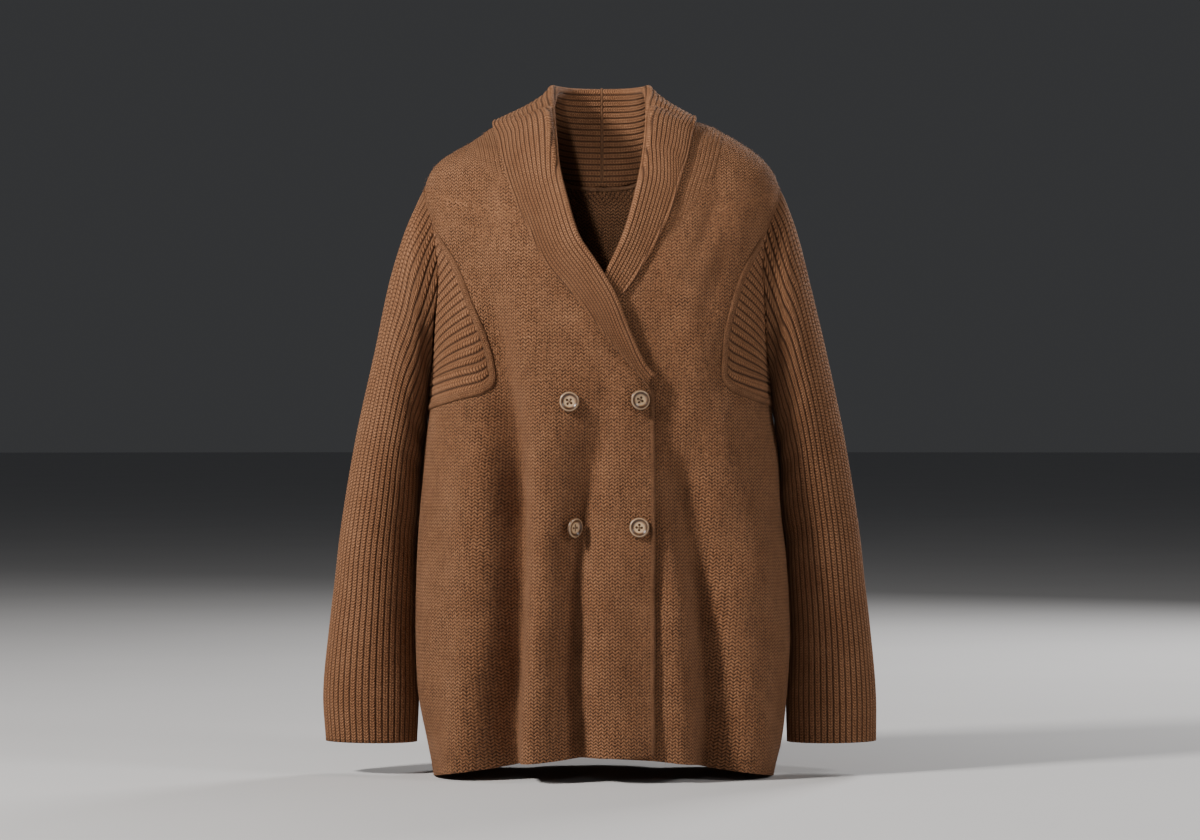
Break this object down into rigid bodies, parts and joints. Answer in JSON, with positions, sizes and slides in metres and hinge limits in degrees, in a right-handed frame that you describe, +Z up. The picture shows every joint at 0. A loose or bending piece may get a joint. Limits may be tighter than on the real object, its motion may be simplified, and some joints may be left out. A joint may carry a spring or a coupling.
{
  "type": "knit coat",
  "caption": "Double-breasted knit coat, hollow and filled out as when worn, with a ribbed shawl collar, ribbed sleeves and side gussets, and round buttons.",
  "frame": {"origin": "middle of the neck opening, level with the neck ends of the shoulder seams, where a wearer's shoulders hold the coat", "axes": "+Z up, -Y the way the front faces, +X to the right as seen from the front"},
  "size_m": [0.5871, 0.247, 0.7311],
  "materials": {
    "brushed_jersey": "brushed, soft nap",
    "rib_knit": "ribbed, soft nap",
    "horn": "satin, with a darker rim"
  },
  "bodies": {
    "root": {"back": "brushed_jersey", "front_left": "brushed_jersey", "front_right": "brushed_jersey", "front_edge": "brushed_jersey", "neck_seam": "brushed_jersey", "sleeve_left": "rib_knit", "sleeve_right": "rib_knit", "gusset_left": "rib_knit", "gusset_right": "rib_knit", "welt_left": "rib_knit", "welt_right": "rib_knit", "collar_left": "rib_knit", "collar_right": "rib_knit", "collar_seam": "rib_knit", "button_1": "horn", "button_2": "horn", "button_3": "horn", "button_4": "horn"}
  },
  "joints": []
}
